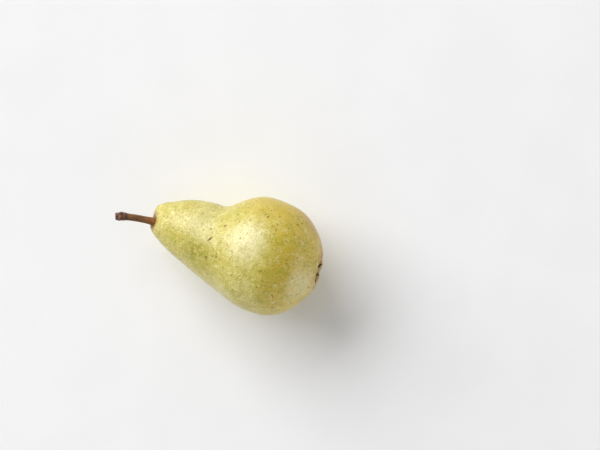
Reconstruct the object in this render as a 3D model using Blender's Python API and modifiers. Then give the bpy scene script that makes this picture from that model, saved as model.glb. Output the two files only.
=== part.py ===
"""A pear lying on its side: the fruit, its woody stem, and the dried calyx in the basin at the far end.

The fruit is modelled along its own core, from the stem end (-X) to the calyx end (+X), and an empty then
lays it down. In the world +Z is up, and the origin is the middle of the flat spot that the fruit lies on.
"""

import math

import bmesh
import bpy
import numpy as np
from mathutils import Vector

MM = 0.001

# The fruit. The core rises towards the calyx by CORE_TILT once the fruit lies down.
FRUIT_LENGTH = 102 * MM
BELLY_DIAMETER = 67 * MM
CORE_TILT = math.radians(9)
FLAT_DEPTH = 0.55 * MM
SEGMENTS_AROUND = 36
RINGS_PER_STATION = 2

# The skin's stations from the shoulder to the calyx end. Each is the share of the length along the
# core, then shares of half the belly diameter: how far the section's middle lies to the side (+Y) and
# up, its half width and its half height, and last how far it leans back for each unit of height.
STATIONS = [
    (0.000, 0.128, 0.02, 0.175, 0.195, 0.38),
    (0.010, 0.130, 0.02, 0.228, 0.240, 0.34),
    (0.032, 0.126, 0.02, 0.288, 0.298, 0.28),
    (0.060, 0.114, 0.01, 0.342, 0.350, 0.23),
    (0.100, 0.098, 0.01, 0.405, 0.410, 0.17),
    (0.170, 0.087, 0.00, 0.503, 0.490, 0.08),
    (0.250, 0.061, -0.01, 0.578, 0.577, 0.00),
    (0.330, 0.014, -0.04, 0.647, 0.658, 0.00),
    (0.400, -0.041, -0.06, 0.684, 0.743, 0.00),
    (0.470, -0.012, -0.08, 0.806, 0.845, 0.00),
    (0.540, 0.006, -0.06, 0.913, 0.927, 0.00),
    (0.610, 0.005, -0.02, 0.982, 0.974, 0.00),
    (0.680, -0.005, 0.00, 1.000, 0.985, 0.00),
    (0.750, -0.017, 0.03, 0.984, 0.961, 0.00),
    (0.820, -0.020, 0.04, 0.929, 0.886, 0.00),
    (0.885, -0.020, 0.03, 0.806, 0.770, 0.00),
    (0.940, -0.018, 0.03, 0.628, 0.592, -0.04),
    (0.980, -0.012, 0.03, 0.437, 0.413, -0.08),
]

# The hollow that the stem grows from, which lies off the middle of the shoulder and faces up, and the
# basin round the calyx.
HOLLOW_WIDTH = 8.0 * MM
HOLLOW_DEPTH = 2.2 * MM
HOLLOW_SET_BACK = 0.8 * MM
HOLLOW_SIDE = -1.2 * MM
HOLLOW_LIFT = 1.2 * MM
HOLLOW_LEAN = 0.45
BASIN_WIDTH = 18.0 * MM
BASIN_DEPTH = 4.2 * MM
BASIN_SIDE = -1.0 * MM

# The stem leaves the hollow square to its rim and bends over. Its points are steps from its foot.
STEM_DIAMETER = 4.0 * MM
STEM_FOOT_DIAMETER = 5.4 * MM
STEM_ROOTED = 4.0 * MM
STEM_CLEARANCE = 0.3 * MM
STEM_POINTS = [
    (2.5, 0.0, 1.2, 1.16),
    (6.0, -0.2, 2.7, 1.00),
    (11.0, -0.7, 4.9, 0.95),
    (16.0, -1.5, 6.6, 0.95),
    (18.0, -1.9, 7.1, 1.12),
    (20.7, -2.9, 7.7, 1.14),
    (22.7, -3.7, 8.1, 0.92),
]

# The calyx: dried lobes in a ring round a tuft of dried stamens. Each rises from the basin's floor and
# spreads outwards on the way.
SEPAL_COUNT = 5
SEPAL_WIDTH = 2.7 * MM
SEPAL_THICKNESS = 0.45 * MM
SEPAL_RISE = 4.6 * MM
SEPAL_SPREAD = 3.7 * MM
SEPAL_RING_RADIUS = 2.6 * MM
TUFT_DIAMETER = 3.0 * MM
TUFT_FOOT_DIAMETER = 2.3 * MM
TUFT_LENGTH = 3.6 * MM
SEAT_GAP = 0.3 * MM


def material(name, color, roughness):
    """A plain Principled material."""
    made = bpy.data.materials.new(name)
    made.use_nodes = True
    shader = made.node_tree.nodes["Principled BSDF"]
    shader.inputs["Base Color"].default_value = (*color, 1.0)
    shader.inputs["Roughness"].default_value = roughness
    shader.inputs["Metallic"].default_value = 0.0
    return made


def skin_rows():
    """Every station of the skin in metres: the stem hollow, the flank, then the calyx basin."""
    belly = BELLY_DIAMETER / 2
    flank = np.array(STATIONS)
    flank[:, 0] *= FRUIT_LENGTH
    flank[:, 1:5] *= belly
    side = flank[0, 1] + HOLLOW_SIDE
    lift = flank[0, 2] + HOLLOW_LIFT
    rim = HOLLOW_WIDTH / 2
    hollow = [
        (HOLLOW_SET_BACK + HOLLOW_DEPTH * sunk, side, lift, rim * out, rim * out, HOLLOW_LEAN)
        for sunk, out in ((1, 0), (0.8, 0.45), (0.25, 0.8), (0, 1.15))
    ]
    _, side, lift, _, _, lean = flank[-1]
    side += BASIN_SIDE
    rim = BASIN_WIDTH / 2
    basin = [
        (FRUIT_LENGTH - BASIN_DEPTH * sunk, side, lift, rim * out, rim * out, lean)
        for sunk, out in ((0, 1), (0.3, 0.72), (0.9, 0.46), (1, 0))
    ]
    return np.vstack([hollow, flank, basin])


def section(rows, place):
    """One section on the smooth curve through the rows. place counts in rows from the stem hollow."""
    sizes = np.column_stack([rows[:, 0], rows[:, 3:5].mean(axis=1)])
    steps = np.linalg.norm(np.diff(sizes, axis=0), axis=1)
    knots = np.concatenate([[0], np.cumsum(steps)])
    last = len(rows) - 1
    here = min(int(place), last - 1)
    ends = []
    for row in (here, here + 1):
        before = max(row - 1, 0)
        after = min(row + 1, last)
        ends.append((rows[after] - rows[before]) / (knots[after] - knots[before]))
    t = place - here
    span = knots[here + 1] - knots[here]
    start = (2 * t**3 - 3 * t**2 + 1) * rows[here] + (t**3 - 2 * t**2 + t) * span * ends[0]
    end = (3 * t**2 - 2 * t**3) * rows[here + 1] + (t**3 - t**2) * span * ends[1]
    return start + end


def skin_point(one, turn):
    """The point of a section at an angle from +Y towards +Z."""
    along, side, lift, half_width, half_height, lean = one
    rise = half_height * math.sin(turn)
    return Vector((along + lean * rise, side + half_width * math.cos(turn), lift + rise))


def make_object(name, mesh, look, collection, parent=None):
    """An object in its collection, shaded smooth."""
    mesh.materials.append(look)
    mesh.shade_smooth()
    made = bpy.data.objects.new(name, mesh)
    made.parent = parent
    collection.objects.link(made)
    return made


def make_fruit(rows, collection, parent):
    """A sphere whose rings are moved onto the skin's sections."""
    look = material("pear_skin", (0.62, 0.52, 0.14), 0.42)
    rings = RINGS_PER_STATION * (len(rows) - 1)
    bm = bmesh.new()
    bmesh.ops.create_uvsphere(bm, u_segments=SEGMENTS_AROUND, v_segments=rings, radius=1)
    sections = [section(rows, ring / RINGS_PER_STATION) for ring in range(rings + 1)]
    for vert in bm.verts:
        ring = round(math.acos(max(-1, min(1, vert.co.z))) / math.pi * rings)
        vert.co = skin_point(sections[ring], math.atan2(vert.co.y, vert.co.x))
    bmesh.ops.recalc_face_normals(bm, faces=bm.faces)
    mesh = bpy.data.meshes.new("fruit")
    bm.to_mesh(mesh)
    bm.free()
    return make_object("fruit", mesh, look, collection, parent)


def lay_down(rows, empty):
    """Tilts the core, and puts the middle of the flat spot at the origin."""
    empty.rotation_euler = (0, -CORE_TILT, 0)
    tilt = empty.rotation_euler.to_matrix()
    places = np.linspace(0, len(rows) - 1, 40 * len(rows))
    keel = [tilt @ skin_point(section(rows, place), -math.pi / 2) for place in places]
    lowest = min(keel, key=lambda point: point.z)
    empty.location = -lowest - Vector((0, 0, FLAT_DEPTH))


def cut_away(target, cutter):
    """A Boolean difference that stays on the object."""
    cutter.hide_render = True
    cutter.display_type = "WIRE"
    cut = target.modifiers.new("cut_" + cutter.name, "BOOLEAN")
    cut.operation = "DIFFERENCE"
    cut.solver = "EXACT"
    cut.object = cutter


def make_flat_cutter(collection, look):
    """A block whose top face is the surface that the fruit lies on."""
    size = BELLY_DIAMETER
    bm = bmesh.new()
    bmesh.ops.create_cube(bm, size=size)
    bmesh.ops.translate(bm, verts=bm.verts, vec=(0, 0, -size / 2))
    mesh = bpy.data.meshes.new("flat_spot_cutter")
    bm.to_mesh(mesh)
    bm.free()
    return make_object("flat_spot_cutter", mesh, look, collection)


def stem_foot(rows):
    """Where the stem leaves the hollow's floor, and the direction that it leaves in."""
    along, side, lift, _, _, lean = rows[0]
    out = Vector((-1, 0, lean)).normalized()
    return Vector((along, side, lift)), out


def make_socket_cutter(rows, collection, parent, look):
    """A round bar that clears the stem's foot all round and below."""
    foot, out = stem_foot(rows)
    depth = STEM_ROOTED + STEM_CLEARANCE
    above = HOLLOW_DEPTH
    radius = STEM_FOOT_DIAMETER / 2 + STEM_CLEARANCE
    bm = bmesh.new()
    bmesh.ops.create_cone(
        bm, cap_ends=True, segments=24, radius1=radius, radius2=radius, depth=depth + above
    )
    mesh = bpy.data.meshes.new("stem_socket_cutter")
    bm.to_mesh(mesh)
    bm.free()
    made = make_object("stem_socket_cutter", mesh, look, collection, parent)
    made.location = foot + out * (above - depth) / 2
    made.rotation_euler = out.to_track_quat("Z", "Y").to_euler()
    return made


def make_stem(rows, collection, parent):
    """A tapered tube from its rooted foot to the swollen end where it broke off the branch."""
    look = material("stem_wood", (0.16, 0.085, 0.045), 0.75)
    foot, out = stem_foot(rows)
    flare = STEM_FOOT_DIAMETER / STEM_DIAMETER
    points = [(foot - out * STEM_ROOTED, flare), (foot, flare)]
    for back, side, rise, swell in STEM_POINTS:
        points.append((foot + Vector((-back, side, rise)) * MM, swell))
    line = bpy.data.curves.new("stem", "CURVE")
    line.dimensions = "3D"
    line.bevel_depth = STEM_DIAMETER / 2
    line.bevel_resolution = 4
    line.use_fill_caps = True
    line.resolution_u = 3
    spline = line.splines.new("BEZIER")
    spline.bezier_points.add(len(points) - 1)
    for knot, (place, swell) in zip(spline.bezier_points, points):
        knot.co = place
        knot.radius = swell
        knot.handle_left_type = "AUTO"
        knot.handle_right_type = "AUTO"
    return make_object_from_curve(line, look, collection, parent)


def make_object_from_curve(line, look, collection, parent):
    """A curve object, which keeps its curve."""
    line.materials.append(look)
    made = bpy.data.objects.new(line.name, line)
    made.parent = parent
    collection.objects.link(made)
    return made


def calyx_seat(rows):
    """The middle of the basin's floor, and the direction that the floor faces."""
    along, side, lift, _, _, lean = rows[-1]
    out = Vector((1, 0, -lean)).normalized()
    return Vector((along, side, lift)), out


def make_sepal(number, rows, collection, parent, look):
    """A dried lobe: a narrow cupped sheet that rises from the basin's floor and turns outwards."""
    floor, out = calyx_seat(rows)
    seat = floor + out * (SEAT_GAP + SEPAL_THICKNESS / 2)
    turn = 2 * math.pi * (number - 0.5) / SEPAL_COUNT
    across = Vector((0, -math.sin(turn), math.cos(turn)))
    outward = across.cross(out)
    bm = bmesh.new()
    bmesh.ops.create_grid(bm, x_segments=2, y_segments=4, size=1)
    for vert in bm.verts:
        share = (vert.co.y + 1) / 2
        half_width = SEPAL_WIDTH / 2 * (1.1 * (1 - share) ** 0.6 + 0.1)
        rise = SEPAL_RISE * share
        spread = SEPAL_RING_RADIUS + SEPAL_SPREAD * share**1.8
        cupped = SEPAL_WIDTH * 0.18 * vert.co.x**2
        vert.co = seat + out * rise + outward * (spread - cupped) + across * half_width * vert.co.x
    mesh = bpy.data.meshes.new(f"sepal_{number}")
    bm.to_mesh(mesh)
    bm.free()
    made = make_object(mesh.name, mesh, look, collection, parent)
    thicken = made.modifiers.new("thickness", "SOLIDIFY")
    thicken.thickness = SEPAL_THICKNESS
    thicken.offset = 0
    soften = made.modifiers.new("soften", "SUBSURF")
    soften.levels = 1
    soften.render_levels = 1
    return made


def make_tuft(rows, collection, parent):
    """The tuft of dried stamens as one short flared plug."""
    look = material("dried_stamens", (0.06, 0.035, 0.02), 0.9)
    floor, out = calyx_seat(rows)
    bm = bmesh.new()
    bmesh.ops.create_cone(
        bm, cap_ends=True, segments=12, radius1=TUFT_FOOT_DIAMETER / 2, radius2=TUFT_DIAMETER / 2,
        depth=TUFT_LENGTH,
    )
    mesh = bpy.data.meshes.new("stamen_tuft")
    bm.to_mesh(mesh)
    bm.free()
    made = make_object("stamen_tuft", mesh, look, collection, parent)
    made.location = floor + out * (SEAT_GAP + TUFT_LENGTH / 2)
    made.rotation_euler = out.to_track_quat("Z", "Y").to_euler()
    return made


def main():
    for old in list(bpy.data.objects):
        bpy.data.objects.remove(old, do_unlink=True)
    parts = bpy.data.collections.new("pear")
    cutters = bpy.data.collections.new("cutters")
    bpy.context.scene.collection.children.link(parts)
    bpy.context.scene.collection.children.link(cutters)

    rows = skin_rows()
    core = bpy.data.objects.new("core_axis", None)
    parts.objects.link(core)
    lay_down(rows, core)

    fruit = make_fruit(rows, parts, core)
    guide = material("cutter", (0.8, 0.1, 0.1), 0.5)
    cut_away(fruit, make_socket_cutter(rows, cutters, core, guide))
    cut_away(fruit, make_flat_cutter(cutters, guide))

    make_stem(rows, parts, core)
    leaf = material("dried_sepal", (0.09, 0.05, 0.025), 0.85)
    for number in range(1, SEPAL_COUNT + 1):
        make_sepal(number, rows, parts, core, leaf)
    make_tuft(rows, parts, core)


main()
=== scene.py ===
import math

import bpy
import numpy as np
from mathutils import Matrix, Vector, noise


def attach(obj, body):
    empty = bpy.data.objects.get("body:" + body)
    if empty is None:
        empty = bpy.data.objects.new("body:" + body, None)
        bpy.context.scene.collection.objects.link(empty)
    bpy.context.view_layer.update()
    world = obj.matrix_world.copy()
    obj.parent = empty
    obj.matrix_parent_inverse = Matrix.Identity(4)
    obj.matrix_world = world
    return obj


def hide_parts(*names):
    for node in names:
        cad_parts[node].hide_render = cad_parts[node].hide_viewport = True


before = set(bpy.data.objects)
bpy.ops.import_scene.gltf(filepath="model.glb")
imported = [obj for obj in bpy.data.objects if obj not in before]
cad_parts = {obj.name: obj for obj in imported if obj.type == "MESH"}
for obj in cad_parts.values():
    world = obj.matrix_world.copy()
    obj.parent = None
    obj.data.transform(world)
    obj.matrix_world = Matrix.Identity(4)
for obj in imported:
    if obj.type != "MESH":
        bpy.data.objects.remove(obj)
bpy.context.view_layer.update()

MM = 0.001


# -------------------------------------------------------------------------------------------------
# The fruit: swollen flesh round a core, grown from the flower's base and closed in one thin skin.
# It hangs from the stem as it grows, so it is narrow at the neck and heavy at the calyx end, and
# its skin has soft dents, a fleshy lip round the stem and folds that gather round the calyx.
FRUIT_LENGTH = 102.0
BELLY_RADIUS = 33.5
CORE_TILT = math.radians(9)
FLAT_DEPTH = 0.55
RINGS = 232
SEGMENTS = 224

# Share of the length along the core, then shares of the belly's radius: the middle's place to the
# side and up, half width, half height; last how far the section leans back per unit of height.
STATIONS = [
    (0.000, 0.128, 0.02, 0.175, 0.195, 0.38),
    (0.010, 0.130, 0.02, 0.228, 0.240, 0.34),
    (0.032, 0.126, 0.02, 0.288, 0.298, 0.28),
    (0.060, 0.114, 0.01, 0.342, 0.350, 0.23),
    (0.100, 0.098, 0.01, 0.405, 0.410, 0.17),
    (0.170, 0.087, 0.00, 0.503, 0.490, 0.08),
    (0.250, 0.061, -0.01, 0.578, 0.577, 0.00),
    (0.330, 0.014, -0.04, 0.647, 0.658, 0.00),
    (0.400, -0.041, -0.06, 0.684, 0.743, 0.00),
    (0.470, -0.012, -0.08, 0.806, 0.845, 0.00),
    (0.540, 0.006, -0.06, 0.913, 0.927, 0.00),
    (0.610, 0.005, -0.02, 0.982, 0.974, 0.00),
    (0.680, -0.005, 0.00, 1.000, 0.985, 0.00),
    (0.750, -0.017, 0.03, 0.984, 0.961, 0.00),
    (0.820, -0.020, 0.04, 0.929, 0.886, 0.00),
    (0.885, -0.020, 0.03, 0.806, 0.770, 0.00),
    (0.942, -0.018, 0.03, 0.628, 0.592, -0.02),
    (0.984, -0.012, 0.03, 0.437, 0.413, 0.04),
]

# The hollow round the stem and the basin round the calyx, as steps: how deep, how far out.
HOLLOW_STEPS = ((1, 0), (0.8, 0.45), (0.25, 0.8), (0, 1.15))
HOLLOW_RADIUS = 4.0
HOLLOW_DEPTH = 2.2
HOLLOW_LEAN = 0.45
BASIN_STEPS = ((0, 1), (0.3, 0.72), (0.9, 0.46), (1, 0))
BASIN_RADIUS = 9.0
BASIN_DEPTH = 4.2

# The skin's own shapes, in millimetres: how deep the dents go, how far out the lip and the folded
# rim lie, and how wide they are.
BROAD_DENT, SMALL_DENT, RIPPLE = 0.36, 0.20, 0.05
LIP_REACH, LIP_WIDTH = 4.3, 1.1
FOLD_REACH, FOLD_WIDTH, FOLD_DEPTH = 8.6, 4.2, 0.20

# Above the stem the shoulder slopes back, and below it the nose is tucked in to a round end.
SLOPE_BACK = 0.25
TUCK = 1.3

# How many rings at each end keep their exact shape, and how far the flank is smoothed, in rings.
SHARP_RINGS, BLEND_RINGS = 28, 20
SMOOTH_RINGS, SMOOTH_SPREAD = 9, 3.2

shape = np.array(STATIONS)
shape[:, 0] *= FRUIT_LENGTH
shape[:, 1:5] *= BELLY_RADIUS
first, last = shape[0], shape[-1]
hollow = [
    (0.5 + HOLLOW_DEPTH * deep, first[1] - 1.2, first[2] + 1.2,
     HOLLOW_RADIUS * out, HOLLOW_RADIUS * out, HOLLOW_LEAN)
    for deep, out in HOLLOW_STEPS
]
basin = [
    (FRUIT_LENGTH + 0.5 - BASIN_DEPTH * deep, last[1] - 1.0, last[2],
     BASIN_RADIUS * out, BASIN_RADIUS * out, last[5])
    for deep, out in BASIN_STEPS
]
shape = np.vstack([hollow, shape, basin])


def run_length(points):
    """How far along a line of points each of them lies."""
    return np.concatenate([[0], np.cumsum(np.linalg.norm(np.diff(points, axis=0), axis=1))])


def smooth_through(rows, knots, places):
    """Reads a smooth curve through rows of numbers, at places between their knots."""
    before = np.maximum(np.arange(len(rows)) - 1, 0)
    after = np.minimum(np.arange(len(rows)) + 1, len(rows) - 1)
    slopes = (rows[after] - rows[before]) / (knots[after] - knots[before])[:, None]
    here = np.clip(np.searchsorted(knots, places, side="right") - 1, 0, len(rows) - 2)
    span = (knots[here + 1] - knots[here])[:, None]
    t = (places - knots[here])[:, None] / span
    return (
        (2 * t**3 - 3 * t**2 + 1) * rows[here] + (t**3 - 2 * t**2 + t) * span * slopes[here]
        + (3 * t**2 - 2 * t**3) * rows[here + 1] + (t**3 - t**2) * span * slopes[here + 1]
    )


def eased(share):
    """A share as a smooth step from 0 to 1."""
    share = np.clip(share, 0, 1)
    return share * share * (3 - 2 * share)


def skin_points(sections, turns):
    """Points of some sections, at angles from +Y towards +Z, still along the core."""
    along, side, lift, wide, high, lean = (column[:, None] for column in sections.T)
    rise = high * np.sin(turns)
    above = np.clip(rise, 0, None)
    near_nose = along < 30
    slope_back = SLOPE_BACK * above**2 / (above + 2) * eased((14 - high) / 7) * near_nose
    tuck = TUCK * eased((-rise - 3) / 5) * eased((19 - high) / 7) * near_nose
    return np.stack(
        [along + lean * rise + slope_back + tuck, side + wide * np.cos(turns), lift + rise], axis=-1
    )


# The rings lie evenly along the skin, so the hollow, the lip and the basin get enough of them.
knots = run_length(np.column_stack([shape[:, 0], shape[:, 3:5].mean(axis=1)]))
fine = np.linspace(0, knots[-1], 4000)
fine_sections = smooth_through(shape, knots, fine)
covered = run_length(np.column_stack([fine_sections[:, 0], fine_sections[:, 3:5].mean(axis=1)]))
ring_places = np.interp(np.linspace(0, covered[-1], RINGS + 1), covered, fine)
ring_sections = smooth_through(shape, knots, ring_places)

# Real flesh has no sudden bends, so along the flank each section is eased towards its neighbours.
spread = np.exp(-0.5 * (np.arange(-SMOOTH_RINGS, SMOOTH_RINGS + 1) / SMOOTH_SPREAD) ** 2)
padded = np.pad(ring_sections, ((SMOOTH_RINGS, SMOOTH_RINGS), (0, 0)), mode="edge")
soft = np.stack(
    [np.convolve(column, spread / spread.sum(), mode="valid") for column in padded.T], axis=-1
)
from_ends = np.minimum(np.arange(RINGS + 1), np.arange(RINGS, -1, -1))
flank_share = eased((from_ends - SHARP_RINGS) / BLEND_RINGS)[:, None]
ring_sections = ring_sections + (soft - ring_sections) * flank_share
turns = np.linspace(0, 2 * math.pi, SEGMENTS, endpoint=False)
grid = skin_points(ring_sections, turns)

# The core is tilted, and the lowest line of the skin sinks by the depth of the flat spot.
tilt = np.array(Matrix.Rotation(-CORE_TILT, 3, "Y"))
keel = skin_points(fine_sections, np.array([-math.pi / 2]))[:, 0] @ tilt.T
lowest = keel[keel[:, 2].argmin()]
shift = -lowest - np.array([0, 0, FLAT_DEPTH])


def laid(points):
    """Points along the core, in millimetres, as points where the fruit lies."""
    return np.asarray(points) @ tilt.T + shift


def laid_direction(direction):
    """A direction along the core as a direction where the fruit lies."""
    way = tilt @ np.asarray(direction, dtype=float)
    return way / np.linalg.norm(way)


def tube_faces(rings, segments):
    """Faces of a tube of rings that is closed by a single point at each end."""
    faces = []
    for ring in range(rings - 1):
        for spot in range(segments):
            beside = (spot + 1) % segments
            low, high = 1 + ring * segments, 1 + (ring + 1) * segments
            faces.append((low + spot, low + beside, high + beside, high + spot))
    tip = 1 + rings * segments
    for spot in range(segments):
        beside = (spot + 1) % segments
        faces.append((0, 1 + beside, 1 + spot))
        faces.append((tip, tip - segments + spot, tip - segments + beside))
    return faces


def make_mesh(name, points, faces):
    """A smooth mesh object from points in metres."""
    mesh = bpy.data.meshes.new(name)
    mesh.from_pydata([tuple(point) for point in points], [], faces)
    mesh.shade_smooth()
    made = bpy.data.objects.new(name, mesh)
    bpy.context.scene.collection.objects.link(made)
    return made


def normals_of(points, faces):
    """The vertex normals of a mesh that isn't kept."""
    mesh = bpy.data.meshes.new("draft")
    mesh.from_pydata([tuple(point) for point in points], [], faces)
    found = np.empty(len(points) * 3)
    mesh.vertices.foreach_get("normal", found)
    bpy.data.meshes.remove(mesh)
    return found.reshape(-1, 3)


def wander(points, size, seed):
    """Soft noise from -1 to 1 whose lumps are about size across."""
    start = Vector((seed, 2.3 * seed, -1.7 * seed))
    return np.array([noise.noise(Vector(point) / size + start) for point in points])


def closed_tube(grid):
    """The grid's inner rings between its two end points, as one list of points."""
    return np.vstack([grid[0].mean(axis=0), grid[1:-1].reshape(-1, 3), grid[-1].mean(axis=0)])


points = laid(closed_tube(grid))
faces = tube_faces(RINGS - 1, SEGMENTS)
normals = normals_of(points, faces)
point_turns = np.concatenate([[0], np.tile(turns, RINGS - 1), [0]])

stem_foot = np.array(hollow[0][:3])
stem_out = laid_direction((-1, 0, HOLLOW_LEAN))
stem_root = laid(stem_foot)
calyx_floor = np.array(basin[-1][:3])
calyx_out = laid_direction((1, 0, -last[5]))
calyx_seat = laid(calyx_floor)

from_stem = points - stem_root
stem_reach = np.linalg.norm(from_stem - np.outer(from_stem @ stem_out, stem_out), axis=1)
near_stem = np.linalg.norm(from_stem, axis=1)
from_calyx = points - calyx_seat
calyx_reach = np.linalg.norm(from_calyx - np.outer(from_calyx @ calyx_out, calyx_out), axis=1)
near_calyx = from_calyx @ calyx_out > -12

# Broad dents from growing against leaves and twigs, then smaller ones that break up the gloss.
from_rim = np.clip(near_stem / 12, 0, 1)
swell = BROAD_DENT * wander(points, 21.0, 3.1) * from_rim
swell += SMALL_DENT * wander(points, 9.5, 7.7) * from_rim
swell += RIPPLE * wander(points, 3.6, 5.2)

# The lip of flesh that has pushed up against the stem, with a small collar on its right-hand side.
lip = np.exp(-((stem_reach - LIP_REACH) / LIP_WIDTH) ** 2) * (near_stem < 9)
collar = np.exp(-((point_turns - 3.5) / 0.55) ** 2)
swell += lip * (0.5 * collar - 0.25 * np.sin(point_turns).clip(0) + 0.2 * wander(points, 3.4, 1.4))

# The folds that gather round the calyx, deepest on the rim of the basin.
folded = np.exp(-((calyx_reach - FOLD_REACH) / FOLD_WIDTH) ** 2) * near_calyx
from_top = point_turns - math.pi / 2
folds = np.cos(5 * from_top + 0.7 * np.sin(2 * from_top)) + 0.4 * np.cos(9 * from_top)
swell += folded * FOLD_DEPTH * (folds + wander(points, 4.5, 9.1))

points = points + normals * swell[:, None]
points[:, 2] = np.maximum(points[:, 2], 0)
fruit = make_mesh("pear_fruit", points * MM, faces)


def tone(code):
    """An sRGB hex colour as linear red, green, blue and alpha."""
    parts = [int(code[at:at + 2], 16) / 255 for at in (1, 3, 5)]
    linear = [
        part / 12.92 if part <= 0.04045 else ((part + 0.055) / 1.055) ** 2.4 for part in parts
    ]
    return (*linear, 1.0)


def add(tree, kind, inputs=(), **settings):
    """Adds a node. inputs gives each socket a number, a colour, or another node's output."""
    node = tree.nodes.new(kind)
    for name, value in settings.items():
        setattr(node, name, value)
    for name, value in dict(inputs).items():
        if isinstance(value, bpy.types.NodeSocket):
            tree.links.new(value, node.inputs[name])
        else:
            node.inputs[name].default_value = value
    return node


def start_material(name):
    """An empty node material, with its tree and its shader."""
    made = bpy.data.materials.new(name)
    made.use_nodes = True
    return made, made.node_tree, made.node_tree.nodes["Principled BSDF"]


# Ripe pear skin: a thin living skin under a natural wax, so it is satin, with one broad soft
# highlight. Below the wax it is yellow with green and ochre clouds, thick with corky pores.
skin, tree, shader = start_material("waxed_pear_skin")
at = add(tree, "ShaderNodeTexCoord").outputs["Object"]


def cloud(tree, at, size, detail=3.0, rough=0.55, low=0.35, high=0.65, seed=0.0):
    """A soft mask from 0 to 1 whose clouds are about size millimetres across."""
    moved = add(
        tree, "ShaderNodeVectorMath", {0: at, 1: (seed, -seed, 0.4 * seed)}, operation="ADD"
    )
    drift = add(
        tree, "ShaderNodeTexNoise",
        {"Vector": moved.outputs[0], "Scale": 1 / (size * MM), "Detail": detail,
         "Roughness": rough},
    )
    return add(
        tree, "ShaderNodeMapRange",
        {"Value": drift.outputs["Fac"], "From Min": low, "From Max": high},
        interpolation_type="SMOOTHSTEP",
    ).outputs[0]


def near(tree, at, place, inner, outer):
    """A mask that is 1 within inner millimetres of a place and 0 beyond outer."""
    away = add(
        tree, "ShaderNodeVectorMath", {0: at, 1: [value * MM for value in place]},
        operation="DISTANCE",
    )
    return add(
        tree, "ShaderNodeMapRange",
        {"Value": away.outputs["Value"], "From Min": inner * MM, "From Max": outer * MM,
         "To Min": 1.0, "To Max": 0.0},
        interpolation_type="SMOOTHSTEP",
    ).outputs[0]


def ragged(tree, at, size, reach):
    """Places shaken by up to half of reach, so that what is read there gets ragged edges."""
    drift = add(tree, "ShaderNodeTexNoise", {"Vector": at, "Scale": 1 / (size * MM), "Detail": 3.0})
    centred = add(
        tree, "ShaderNodeVectorMath", {0: drift.outputs["Color"], 1: (0.5, 0.5, 0.5)},
        operation="SUBTRACT",
    )
    return add(
        tree, "ShaderNodeVectorMath", {0: centred.outputs[0], 1: (reach * MM,) * 3, 2: at},
        operation="MULTIPLY_ADD",
    ).outputs[0]


def pores(tree, at, spacing, radius, seed):
    """Round dots of mixed sizes, about spacing millimetres apart: 1 in a dot, 0 outside."""
    moved = add(tree, "ShaderNodeVectorMath", {0: at, 1: (seed, seed, -seed)}, operation="ADD")
    cells = add(
        tree, "ShaderNodeTexVoronoi", {"Vector": moved.outputs[0], "Scale": 1 / (spacing * MM)},
        feature="F1",
    )
    mixed = add(tree, "ShaderNodeSeparateColor", {"Color": cells.outputs["Color"]})
    size = add(
        tree, "ShaderNodeMapRange",
        {"Value": mixed.outputs[0], "To Min": 0.35 * radius / spacing,
         "To Max": 1.35 * radius / spacing},
    )
    inside = add(
        tree, "ShaderNodeMath", {0: cells.outputs["Distance"], 1: size.outputs[0]},
        operation="DIVIDE",
    )
    return add(
        tree, "ShaderNodeMapRange",
        {"Value": inside.outputs[0], "From Min": 0.55, "From Max": 1.1,
         "To Min": 1.0, "To Max": 0.0},
        interpolation_type="SMOOTHSTEP",
    ).outputs[0]


# Cork forms where the skin is stretched or wetted: on the rim and in the basin of the calyx, and
# round the stem's root. Its edges are ragged.
torn = ragged(tree, at, 3.2, 7.0)
russet = add(
    tree, "ShaderNodeMath",
    {0: near(tree, torn, calyx_seat, 6.0, 15.5),
     1: cloud(tree, at, 2.4, 6.0, 0.7, 0.42, 0.6, 0.31)},
    operation="MULTIPLY",
).outputs[0]
root_russet = add(
    tree, "ShaderNodeMath",
    {0: near(tree, at, stem_root + 1.8 * stem_out, 3.2, 7.8),
     1: cloud(tree, at, 2.2, 4.0, 0.6, 0.3, 0.6, 0.17)},
    operation="MULTIPLY",
).outputs[0]
green_patch = add(
    tree, "ShaderNodeMath",
    {0: near(tree, at, (-28.5, -8.5, 47.5), 1.0, 14.0),
     1: cloud(tree, at, 3.0, 4.0, 0.65, 0.34, 0.6, 0.05)},
    operation="MULTIPLY",
).outputs[0]

# Real pores are 0.2 to 0.6 mm across and 1 to 3 mm apart. The large ones are drawn up to 1 mm
# across, a little coarser than real, so that they show.
shaken = ragged(tree, at, 0.9, 0.9)
small_pores = pores(tree, shaken, 1.15, 0.31, 0.011)
large_pores = pores(tree, shaken, 2.6, 0.42, 0.037)

# Towards the calyx end, on the side away from the soft box, the yellow deepens to ochre: partly the
# riper skin's own colour, partly painted warm shade.
along_x = add(tree, "ShaderNodeSeparateXYZ", {0: at}).outputs["X"]
calyx_side_ochre = add(
    tree, "ShaderNodeMapRange",
    {"Value": along_x, "From Min": 3 * MM, "From Max": 25 * MM}, interpolation_type="SMOOTHSTEP",
)
patchy = add(
    tree, "ShaderNodeMapRange",
    {"Value": cloud(tree, at, 7.0, 4.0, 0.6), "To Min": 0.65, "To Max": 1.5}, clamp=False,
)
ripe_and_warm_shade = add(
    tree, "ShaderNodeMath", {0: calyx_side_ochre.outputs[0], 1: patchy.outputs[0]},
    operation="MULTIPLY", use_clamp=True,
).outputs[0]
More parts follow.
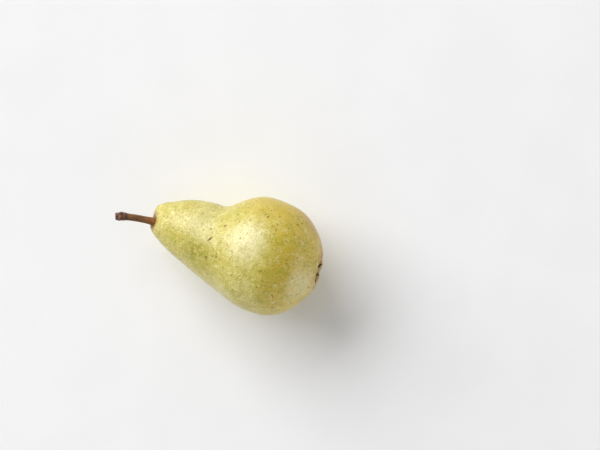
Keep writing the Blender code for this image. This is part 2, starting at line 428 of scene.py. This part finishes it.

# From the lowest layer to the top one: the pigment, how strong it is, and where it lies. First come
# the clouds and flecks and the ochre of the calyx side, then four pale patches of painted highlight
# and reflection, painted shade on the upper flank, the green patch and painted warm shade on the
# calyx end's flank, then the pores with their green haloes, and last the cork, with painted shade
# on the basin's far lip and a painted shadow in the fold under the stem.
layers = [
    ("#B8AE3A", 0.6, cloud(tree, at, 24.0, 2.0, 0.5, 0.36, 0.64)),
    ("#D0B232", 0.85, ripe_and_warm_shade),
    ("#ACA41A", 0.4, cloud(tree, at, 9.0, 4.0, 0.6, 0.50, 0.66, 0.8)),
    ("#E0D690", 0.75, cloud(tree, at, 4.5, 6.0, 0.75, 0.50, 0.66, 0.2)),
    ("#A69C14", 0.7, cloud(tree, at, 4.5, 6.0, 0.75, 0.50, 0.66, 0.4)),
    # Painted highlights and reflections: the soft box's gloss on the belly and on the neck, the
    # white floor's reflection on the lower flank, and the low card's gloss on the calyx end.
    ("#EAE2B0", 0.5, near(tree, torn, (-3.0, 5.0, 63.0), 5.0, 17.0)),
    ("#E6DDA6", 0.3, near(tree, torn, (-30.0, 12.0, 45.0), 3.0, 16.0)),
    ("#E6DDA6", 0.3, near(tree, torn, (-14.0, -25.0, 42.0), 3.0, 16.0)),
    ("#EAE2B2", 0.45, near(tree, torn, (34.0, -11.0, 53.0), 1.0, 16.0)),
    # Painted shade: a deeper, duller yellow over the upper flank.
    ("#C2A408", 0.75, near(tree, at, (10.0, 31.0, 44.0), 6.0, 29.0)),
    ("#948F04", 0.95, green_patch),
    # Painted warm shade: an ochre darkening on the flank above the calyx end.
    ("#B88408", 0.75, near(tree, torn, (35.0, 26.0, 35.0), 4.0, 22.0)),
    ("#C0943A", 0.5, cloud(tree, at, 2.2, 2.0, 0.5, 0.6, 0.72, 0.6)),
    ("#A3A03A", 0.3, pores(tree, shaken, 2.6, 1.0, 0.037)),
    ("#8A6A14", 0.75, small_pores),
    ("#7E4E0E", 0.7, large_pores),
    ("#B0843A", 0.6, near(tree, torn, calyx_seat, 5.5, 15.0)),
    # Painted shade: brown-orange on the far lip of the calyx basin, as it looks in shadow.
    ("#A86F1E", 0.7, near(tree, torn, (43.0, 9.0, 40.0), 3.0, 11.0)),
    ("#8E6128", 0.85, russet),
    ("#6E4A24", 0.9, near(tree, torn, calyx_seat, 3.0, 9.0)),
    ("#8A5A2A", 1.0, root_russet),
    # Painted shadow: brown in the fold under the stem's root.
    ("#8A5726", 0.85, near(tree, torn, laid(stem_foot + (-1.5, -4.2, -1.6)), 1.2, 3.6)),
]
colour = add(
    tree, "ShaderNodeMix",
    {0: cloud(tree, at, 1.0, 4.0, 0.75, 0.32, 0.68, 0.9), 6: tone("#AE9E32"), 7: tone("#E2D684")},
    data_type="RGBA",
).outputs[2]
for over, amount, mask in layers:
    share = add(tree, "ShaderNodeMath", {0: mask, 1: amount}, operation="MULTIPLY").outputs[0]
    colour = add(
        tree, "ShaderNodeMix", {0: share, 6: colour, 7: tone(over)}, data_type="RGBA"
    ).outputs[2]

# Bruises and twig rubs: where they lie, how long and wide, which way they run, and how dark.
MARKS = [
    ((-22.9, 1.4, 52.2), 2.5, 0.8, 52, 0.85),
    ((-22.5, -9.1, 51.2), 1.1, 0.9, 0, 0.7),
    ((-16.9, -7.5, 54.8), 1.2, 0.9, 40, 0.55),
    ((-31.1, 14.5, 43.3), 0.9, 0.8, 0, 0.5),
    ((-16.5, 10.6, 53.1), 1.0, 0.7, 80, 0.6),
    ((5.8, 21.8, 58.9), 1.0, 0.7, 20, 0.8),
    ((23.2, 21.7, 56.0), 1.3, 0.6, -25, 0.8),
    ((19.6, -20.6, 60.3), 2.2, 0.45, -55, 0.75),
    ((21.0, -27.4, 52.8), 0.8, 0.6, 0, 0.7),
    ((-33.0, -33.0, 20.0), 1.4, 0.6, 30, 0.7),
]
marks = 0.0
for place, long, wide, way, dark in MARKS:
    reach = add(
        tree, "ShaderNodeVectorMath", {0: shaken, 1: [value * MM for value in place]},
        operation="SUBTRACT",
    )
    turned = add(
        tree, "ShaderNodeVectorRotate",
        {"Vector": reach.outputs[0], "Angle": -math.radians(way)}, rotation_type="Z_AXIS",
    )
    sized = add(
        tree, "ShaderNodeVectorMath",
        {0: turned.outputs[0], 1: (1 / (long * MM), 1 / (wide * MM), 1 / (long * MM))},
        operation="MULTIPLY",
    )
    away = add(tree, "ShaderNodeVectorMath", {0: sized.outputs[0]}, operation="LENGTH")
    mask = add(
        tree, "ShaderNodeMapRange",
        {"Value": away.outputs["Value"], "From Min": 0.3, "From Max": 1.2,
         "To Min": dark, "To Max": 0.0},
        interpolation_type="SMOOTHSTEP",
    )
    marks = add(
        tree, "ShaderNodeMath", {0: marks, 1: mask.outputs[0]}, operation="MAXIMUM"
    ).outputs[0]
colour = add(
    tree, "ShaderNodeMix", {0: marks, 6: colour, 7: tone("#55340C")}, data_type="RGBA"
).outputs[2]
tree.links.new(colour, shader.inputs["Base Color"])

# Cork is matt where the wax is gone: the russet, the pores and the rubs.
corky = add(tree, "ShaderNodeMath", {0: russet, 1: large_pores}, operation="MAXIMUM").outputs[0]
corky = add(tree, "ShaderNodeMath", {0: corky, 1: marks}, operation="MAXIMUM").outputs[0]
gloss = add(tree, "ShaderNodeMapRange", {"Value": corky, "To Min": 0.42, "To Max": 0.8})
wax = add(tree, "ShaderNodeMapRange", {"Value": corky, "To Min": 0.45, "To Max": 0.0})
tree.links.new(gloss.outputs[0], shader.inputs["Roughness"])
tree.links.new(wax.outputs[0], shader.inputs["Coat Weight"])
shader.inputs["IOR"].default_value = 1.44
shader.inputs["Coat Roughness"].default_value = 0.34

# Pores and cork stand up by hundredths of a millimetre, and rubs are dented in.
relief = cloud(tree, at, 1.8, 3.0, 0.6, 0.2, 0.8, 0.7)
for amount, mask in ((0.25, small_pores), (0.5, large_pores), (0.6, russet), (-0.8, marks)):
    relief = add(
        tree, "ShaderNodeMath", {0: mask, 1: amount, 2: relief}, operation="MULTIPLY_ADD"
    ).outputs[0]
bump = add(
    tree, "ShaderNodeBump", {"Height": relief, "Strength": 0.5, "Distance": 0.06 * MM}
)
tree.links.new(bump.outputs[0], shader.inputs["Normal"])
fruit.data.materials.append(skin)
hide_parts("fruit")
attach(fruit, "root")


# -------------------------------------------------------------------------------------------------
# The stem: a short woody twig that the fruit hung from. It is thickest where it grows out of the
# flesh, and it swells again into a gnarled knob where it broke off the branch.
STEM_RADIUS = 2.0
STEM_STEPS = [
    (-3.6, -0.9, -1.6, 1.50),
    (-0.4, -0.9, -0.2, 1.50),
    (2.5, -0.8, 1.2, 1.18),
    (6.0, -0.9, 2.7, 1.06),
    (11.0, -1.3, 4.9, 1.02),
    (15.4, -1.8, 6.4, 1.00),
    (17.0, -2.0, 6.9, 1.16),
    (20.3, -2.8, 7.6, 1.16),
    (22.1, -3.4, 8.0, 0.94),
]
STEM_RINGS = 166
STEM_SEGMENTS = 56

# How far back from the broken end, in millimetres: where the knob begins, where its bud sits, where
# the groove of the scar runs, and where the dark ring of old bark is.
KNOB_BACK, BUD_BACK, SCAR_BACK, DARK_RING_BACK = 5.9, 3.0, 6.1, 6.3

steps = np.array(STEM_STEPS)
line = np.column_stack([
    laid(stem_foot + steps[:, :3] * (-1, 1, 1)), steps[:, 3] * STEM_RADIUS
])
stem_knots = run_length(line[:, :3])
stem_reading = smooth_through(line, stem_knots, np.linspace(0, stem_knots[-1], STEM_RINGS))
middles, radii = stem_reading[:, :3], stem_reading[:, 3]
ahead = np.gradient(middles, axis=0)
ahead /= np.linalg.norm(ahead, axis=1)[:, None]
side_way = np.cross(ahead, (0, 0, 1))
side_way /= np.linalg.norm(side_way, axis=1)[:, None]
up_way = np.cross(side_way, ahead)
stem_along = run_length(middles)
stem_length = stem_along[-1]

# The broken end: the wood stands a little proud of the bark, with a small pit of pith.
end, end_ahead, end_radius = middles[-1], ahead[-1], radii[-1]
for out, share in ((0.25, 0.93), (0.42, 0.74), (0.30, 0.45), (-0.1, 0.2), (-0.2, 0.0)):
    middles = np.vstack([middles, end + end_ahead * out])
    radii = np.append(radii, end_radius * share)
    stem_along = np.append(stem_along, stem_length + out)
    side_way = np.vstack([side_way, side_way[-1]])
    up_way = np.vstack([up_way, up_way[-1]])
stem_turns = np.linspace(0, 2 * math.pi, STEM_SEGMENTS, endpoint=False)
stem_around = (
    side_way[:, None] * np.cos(stem_turns)[None, :, None]
    + up_way[:, None] * np.sin(stem_turns)[None, :, None]
)
straight = np.stack(np.broadcast_arrays(
    np.cos(stem_turns)[None] * STEM_RADIUS, np.sin(stem_turns)[None] * STEM_RADIUS,
    stem_along[:, None],
), axis=-1)
flat_straight = straight.reshape(-1, 3)

# Long furrows in the dry bark, knuckles on the knob, and the scar ring behind it.
furrows = wander(flat_straight * (1, 1, 0.12), 0.9, 4.4) * 0.10
furrows += wander(flat_straight * (1, 1, 0.3), 2.2, 8.1) * 0.12
knob = 1 / (1 + np.exp(-(flat_straight[:, 2] - (stem_length - KNOB_BACK)) / 0.35))
knuckles = wander(flat_straight, 1.5, 2.9) * 0.42 + wander(flat_straight, 0.7, 6.3) * 0.14
bud = np.exp(-((flat_straight[:, 2] - (stem_length - BUD_BACK)) / 1.0) ** 2)
bud = bud * np.clip(flat_straight[:, 1] / STEM_RADIUS, 0, 1) ** 2 * 0.75
scar = np.exp(-((flat_straight[:, 2] - (stem_length - SCAR_BACK)) / 0.35) ** 2)
grown = furrows + knob * knuckles + bud - 0.16 * scar
grown = grown.reshape(straight.shape[:2])
grown[-1] = 0
stem_grid = middles[:, None] + stem_around * (radii[:, None] * (1 + grown / STEM_RADIUS))[..., None]
stem = make_mesh(
    "woody_stem", closed_tube(stem_grid) * MM, tube_faces(len(stem_grid) - 2, STEM_SEGMENTS)
)

# Where each point would lie on a straight stem, so that the grain runs along the bends.
grain = stem.data.attributes.new("grain", "FLOAT_VECTOR", "POINT")
grain.data.foreach_set("vector", (closed_tube(straight) * MM).ravel())

# Dry woody bark: matt, with fibres that run along it. It weathers grey-brown near the knob and is
# warmer, redder brown where it has stayed fresh by the fruit.
bark, tree, shader = start_material("dry_stem_bark")
fibre = add(tree, "ShaderNodeAttribute", attribute_name="grain").outputs["Vector"]
split = add(tree, "ShaderNodeSeparateXYZ", {0: fibre})
run = add(
    tree, "ShaderNodeMapRange",
    {"Value": split.outputs["Z"], "From Min": 4 * MM, "From Max": stem_length * MM},
).outputs[0]
long_fibre = add(
    tree, "ShaderNodeMapping", {"Vector": fibre, "Scale": (1, 1, 0.1)}
).outputs[0]
streaks = cloud(tree, long_fibre, 0.5, 3.0, 0.6, 0.35, 0.65)
blotches = cloud(tree, fibre, 1.6, 4.0, 0.6, 0.4, 0.62, 0.3)
knobby = add(
    tree, "ShaderNodeMapRange",
    {"Value": split.outputs["Z"], "From Min": (stem_length - KNOB_BACK - 0.5) * MM,
     "From Max": (stem_length - KNOB_BACK + 0.3) * MM},
    interpolation_type="SMOOTHSTEP",
).outputs[0]
# Dark brown patches scattered in a cloud over the knob.
knob_dark_patches = add(
    tree, "ShaderNodeMath", {0: knobby, 1: cloud(tree, fibre, 1.1, 4.0, 0.6, 0.46, 0.6, 0.3)},
    operation="MULTIPLY",
).outputs[0]
cut_face = add(
    tree, "ShaderNodeMapRange",
    {"Value": split.outputs["Z"], "From Min": (stem_length + 0.05) * MM,
     "From Max": (stem_length + 0.3) * MM},
).outputs[0]
warm = add(
    tree, "ShaderNodeMapRange",
    {"Value": run, "From Min": 0.1, "From Max": 0.55, "To Min": 1.0, "To Max": 0.0},
    interpolation_type="SMOOTHSTEP",
).outputs[0]
from_ring = add(
    tree, "ShaderNodeMath", {0: split.outputs["Z"], 1: (stem_length - DARK_RING_BACK) * MM},
    operation="SUBTRACT",
)
from_ring = add(tree, "ShaderNodeMath", {0: from_ring.outputs[0]}, operation="ABSOLUTE")
dark_ring = add(
    tree, "ShaderNodeMapRange",
    {"Value": from_ring.outputs[0], "From Min": 0.2 * MM, "From Max": 0.8 * MM,
     "To Min": 1.0, "To Max": 0.0},
    interpolation_type="SMOOTHSTEP",
).outputs[0]
colour = add(
    tree, "ShaderNodeMix", {0: streaks, 6: tone("#6B4726"), 7: tone("#8F6C42")}, data_type="RGBA"
).outputs[2]
for over, amount, mask in [
    ("#9A6230", 0.8, warm),
    ("#5A3A2C", 0.35, blotches),
    ("#805A4A", 0.75, knobby),
    ("#362620", 0.9, knob_dark_patches),
    ("#3E2A1C", 0.6, dark_ring),
    ("#9A9088", 0.75, cut_face),
]:
    share = add(tree, "ShaderNodeMath", {0: mask, 1: amount}, operation="MULTIPLY").outputs[0]
    colour = add(
        tree, "ShaderNodeMix", {0: share, 6: colour, 7: tone(over)}, data_type="RGBA"
    ).outputs[2]
tree.links.new(colour, shader.inputs["Base Color"])
shader.inputs["Roughness"].default_value = 0.72
shader.inputs["Specular IOR Level"].default_value = 0.35
relief = add(
    tree, "ShaderNodeMath", {0: blotches, 1: 0.6, 2: streaks}, operation="MULTIPLY_ADD"
).outputs[0]
bump = add(tree, "ShaderNodeBump", {"Height": relief, "Strength": 0.7, "Distance": 0.12 * MM})
tree.links.new(bump.outputs[0], shader.inputs["Normal"])
stem.data.materials.append(bark)
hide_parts("stem")
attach(stem, "root")


# -------------------------------------------------------------------------------------------------
# The calyx: the flower's five sepals, which stay on the fruit, dry out and curl back like scraps of
# thin leather. Each grows from the basin's floor in a ring, narrow and pointed.
SEPAL_WIDTH = 2.9
SEPAL_RISE = 4.6
SEPAL_SPREAD = 4.0
SEPAL_RING_RADIUS = 2.5
SEPAL_THICKNESS = 0.35
CRUMPLE = 0.28
SEPAL_ACROSS = 13
SEPAL_ALONG = 25

# Dried leaf: it has gone as stiff and dull as old leather, dark brown, and paler where it grows on.
sepal_leather, tree, shader = start_material("dried_sepal_leather")
at = add(tree, "ShaderNodeTexCoord").outputs["Object"]
colour = add(
    tree, "ShaderNodeMix",
    {0: cloud(tree, at, 1.1, 4.0, 0.65), 6: tone("#4A2E14"), 7: tone("#7E5628")}, data_type="RGBA",
).outputs[2]
colour = add(
    tree, "ShaderNodeMix",
    {0: near(tree, at, calyx_seat, 2.0, 5.0), 6: colour, 7: tone("#8A6A36")}, data_type="RGBA",
).outputs[2]
tree.links.new(colour, shader.inputs["Base Color"])
shader.inputs["Roughness"].default_value = 0.78
bump = add(
    tree, "ShaderNodeBump",
    {"Height": cloud(tree, at, 0.45, 4.0, 0.65), "Strength": 0.8, "Distance": 0.15 * MM},
)
tree.links.new(bump.outputs[0], shader.inputs["Normal"])

across_share, along_share = np.meshgrid(
    np.linspace(-1, 1, SEPAL_ACROSS), np.linspace(0, 1, SEPAL_ALONG)
)
across_share, along_share = across_share.ravel(), along_share.ravel()
sepal_faces = [
    (row * SEPAL_ACROSS + spot, row * SEPAL_ACROSS + spot + 1,
     (row + 1) * SEPAL_ACROSS + spot + 1, (row + 1) * SEPAL_ACROSS + spot)
    for row in range(SEPAL_ALONG - 1) for spot in range(SEPAL_ACROSS - 1)
]
core_out = np.array((1, 0, -last[5]))
core_out /= np.linalg.norm(core_out)
for number in range(1, 6):
    turn = 2 * math.pi * (number - 0.5) / 5
    across = np.array((0, -math.sin(turn), math.cos(turn)))
    outward = np.cross(across, core_out)
    half = SEPAL_WIDTH / 2 * (1.1 * (1 - along_share) ** 0.7 + 0.05)
    rise = SEPAL_RISE * (along_share - 0.10 * np.clip(along_share - 0.75, 0, 1) * number)
    spread = SEPAL_RING_RADIUS + SEPAL_SPREAD * along_share**1.8
    cupped = SEPAL_WIDTH * 0.2 * across_share**2
    twist = 0.5 * math.sin(2.1 * number) * along_share * across_share
    leaf = (
        calyx_floor + core_out * (0.1 + rise + twist)[:, None]
        + outward * (spread - cupped)[:, None] + across * (half * across_share)[:, None]
    )
    leaf = leaf + CRUMPLE * np.column_stack(
        [wander(leaf, 1.3, seed + number) for seed in (1.0, 11.0, 21.0)]
    )
    sepal = make_mesh(f"dried_sepal_{number}", laid(leaf) * MM, sepal_faces)
    thicken = sepal.modifiers.new("thickness", "SOLIDIFY")
    thicken.thickness = SEPAL_THICKNESS * MM
    thicken.offset = 0
    soften = sepal.modifiers.new("soft_edge", "SUBSURF")
    soften.levels = soften.render_levels = 1
    sepal.data.materials.append(sepal_leather)
    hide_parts(f"sepal_{number}")
    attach(sepal, "root")


# -------------------------------------------------------------------------------------------------
# The stamens: a tuft of dry threads in the middle of the calyx, left from the flower, each with the
# withered speck of its anther at the tip.
THREADS = 22
THREAD_RADIUS = 0.13
THREAD_LENGTH = 3.6
THREAD_SIDES = 8
TURN_BETWEEN = 2.399963

thread_points, thread_faces = [], []


def add_tube(middles, radii, sides, points, faces):
    """Adds a closed tube along a line of middles to a list of points and faces."""
    ahead = np.gradient(middles, axis=0)
    ahead /= np.linalg.norm(ahead, axis=1)[:, None]
    sideways = np.cross(ahead, (0.31, 0.92, 0.23))
    sideways /= np.linalg.norm(sideways, axis=1)[:, None]
    upwards = np.cross(sideways, ahead)
    spots = np.linspace(0, 2 * math.pi, sides, endpoint=False)
    around = sideways[:, None] * np.cos(spots)[:, None] + upwards[:, None] * np.sin(spots)[:, None]
    rings = middles[:, None] + around * radii[:, None, None]
    begin = len(points)
    points.extend(closed_tube(rings))
    for face in tube_faces(len(rings) - 2, sides):
        faces.append(tuple(begin + corner for corner in face))


share = np.linspace(0, 1, 14)
for number in range(THREADS):
    turn = number * TURN_BETWEEN
    lean = 0.25 + 0.75 * (number + 0.5) / THREADS
    bend = 0.5 * math.sin(3.7 * number)
    spoke = np.array((0, math.cos(turn), math.sin(turn)))
    beside = np.array((0, -math.sin(turn), math.cos(turn)))
    length = THREAD_LENGTH * (0.75 + 0.25 * math.sin(5.3 * number + 1))
    middles = (
        calyx_floor + core_out * (-0.6 + share * (length + 0.6))[:, None]
        + spoke * (0.35 + 0.8 * lean + 1.3 * lean * share**2)[:, None]
        + beside * (bend * share**2)[:, None]
    )
    swollen = 1 + 1.3 * np.exp(-((share - 0.93) / 0.06) ** 2) * (number % 3 > 0)
    add_tube(laid(middles), THREAD_RADIUS * swollen, THREAD_SIDES, thread_points, thread_faces)

# The threads stand on the withered disc in the middle of the flower.
share = np.linspace(0, 1, 12)
disc = calyx_floor + core_out * (-1.0 + 2.2 * share)[:, None]
disc_radii = 2.4 * np.sqrt(np.clip(1 - share**3, 0.0001, 1))
add_tube(laid(disc), disc_radii, 28, thread_points, thread_faces)
stamens = make_mesh("dried_stamens", np.array(thread_points) * MM, thread_faces)

# Withered threads: dead plant fibre, almost black and quite matt, so the middle looks deep.
stamen_thread, tree, shader = start_material("withered_stamen_thread")
at = add(tree, "ShaderNodeTexCoord").outputs["Object"]
colour = add(
    tree, "ShaderNodeMix",
    {0: cloud(tree, at, 0.8, 3.0, 0.6), 6: tone("#2A1B10"), 7: tone("#5C4024")}, data_type="RGBA",
).outputs[2]
tree.links.new(colour, shader.inputs["Base Color"])
shader.inputs["Roughness"].default_value = 0.85
bump = add(
    tree, "ShaderNodeBump",
    {"Height": cloud(tree, at, 0.3, 3.0, 0.6), "Strength": 0.8, "Distance": 0.1 * MM},
)
tree.links.new(bump.outputs[0], shader.inputs["Normal"])
stamens.data.materials.append(stamen_thread)
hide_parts("stamen_tuft")
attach(stamens, "root")


# -------------------------------------------------------------------------------------------------
# The floor: a wide round sheet of matt white card that the fruit lies on. It ends so far out that
# it meets the white surround near the horizon.
FLOOR_RADIUS = 1.6
FLOOR_SIDES = 96
rim = [2 * math.pi * spot / FLOOR_SIDES for spot in range(FLOOR_SIDES)]
floor = make_mesh(
    "floor", [(FLOOR_RADIUS * math.cos(turn), FLOOR_RADIUS * math.sin(turn), 0) for turn in rim],
    [tuple(range(FLOOR_SIDES))],
)

# Uncoated card: matt, with hardly any sheen, and broad faint differences in its white.
card, tree, shader = start_material("matt_white_card")
at = add(tree, "ShaderNodeTexCoord").outputs["Object"]
colour = add(
    tree, "ShaderNodeMix",
    {0: cloud(tree, at, 40.0, 2.0), 6: tone("#FBFBFC"), 7: tone("#FDFDFE")}, data_type="RGBA",
).outputs[2]
tree.links.new(colour, shader.inputs["Base Color"])
shader.inputs["Roughness"].default_value = 0.9
shader.inputs["Specular IOR Level"].default_value = 0.2
floor.data.materials.append(card)


# -------------------------------------------------------------------------------------------------
# The light: a large soft box, high on the stem's far side, and a white surround that is brightest
# near the horizon, with a low white card across from the soft box.
KEY_PLACE = Vector((-3.67, 2.09, 2.56))
KEY_WIDTH = 5.0
KEY_HEIGHT = 4.0
FRUIT_MIDDLE = Vector((0, 0, 0.03))

# How bright the soft box looks, where 1 is white card.
KEY_RADIANCE = 4.6

light = bpy.data.lights.new("key_soft_box", "AREA")
light.shape = "RECTANGLE"
light.size = KEY_WIDTH
light.size_y = KEY_HEIGHT
light.energy = KEY_RADIANCE * math.pi * KEY_WIDTH * KEY_HEIGHT
key = bpy.data.objects.new("key_soft_box", light)
key.location = KEY_PLACE
key.rotation_euler = (FRUIT_MIDDLE - KEY_PLACE).to_track_quat("-Z", "Y").to_euler()
key.visible_camera = False
bpy.context.scene.collection.objects.link(key)

world = bpy.data.worlds.new("white_surround")
world.use_nodes = True
bpy.context.scene.world = world
tree = world.node_tree
sky = add(tree, "ShaderNodeTexCoord").outputs["Generated"]
way = add(tree, "ShaderNodeSeparateXYZ", {0: sky})
strength = add(
    tree, "ShaderNodeMapRange",
    {"Value": way.outputs["Z"], "From Min": 0.10, "From Max": 0.40, "To Min": 1.0, "To Max": 0.42},
    interpolation_type="SMOOTHSTEP",
).outputs[0]

# The surround is dimmer on the calyx's side, so the fruit's shadow keeps its depth.
far_side = add(
    tree, "ShaderNodeMapRange",
    {"Value": way.outputs["X"], "From Min": -0.3, "From Max": 1.0, "To Min": 1.0, "To Max": 0.6},
    interpolation_type="SMOOTHSTEP",
).outputs[0]
strength = add(
    tree, "ShaderNodeMath", {0: strength, 1: far_side}, operation="MULTIPLY"
).outputs[0]

# The low card shows as a pale band of gloss on the calyx end.
card_low = add(
    tree, "ShaderNodeMapRange",
    {"Value": way.outputs["Z"], "From Min": 0.29, "From Max": 0.24},
    interpolation_type="SMOOTHSTEP",
)
towards_card = add(
    tree, "ShaderNodeVectorMath", {0: sky, 1: (0.968, -0.249, 0)}, operation="DOT_PRODUCT"
)
card_wide = add(
    tree, "ShaderNodeMapRange",
    {"Value": towards_card.outputs["Value"], "From Min": 0.88, "From Max": 0.92, "To Max": 2.9},
    interpolation_type="SMOOTHSTEP",
)
strength = add(
    tree, "ShaderNodeMath", {0: card_low.outputs[0], 1: card_wide.outputs[0], 2: strength},
    operation="MULTIPLY_ADD",
).outputs[0]
tree.links.new(strength, tree.nodes["Background"].inputs["Strength"])
tree.nodes["Background"].inputs["Color"].default_value = (1.0, 1.0, 1.0, 1.0)


# -------------------------------------------------------------------------------------------------
# The camera: it looks straight down from 0.85 m through a long lens, with the stem to the left and
# the calyx to the right.
lens = bpy.data.cameras.new("camera")
lens.lens = 85
lens.sensor_width = 36
camera = bpy.data.objects.new("camera", lens)
camera.location = (0.0243, 0.0220, 0.853)
camera.rotation_euler = (0, 0, math.radians(14.79))
bpy.context.scene.collection.objects.link(camera)
bpy.context.scene.camera = camera
bpy.context.scene.view_settings.view_transform = "Standard"
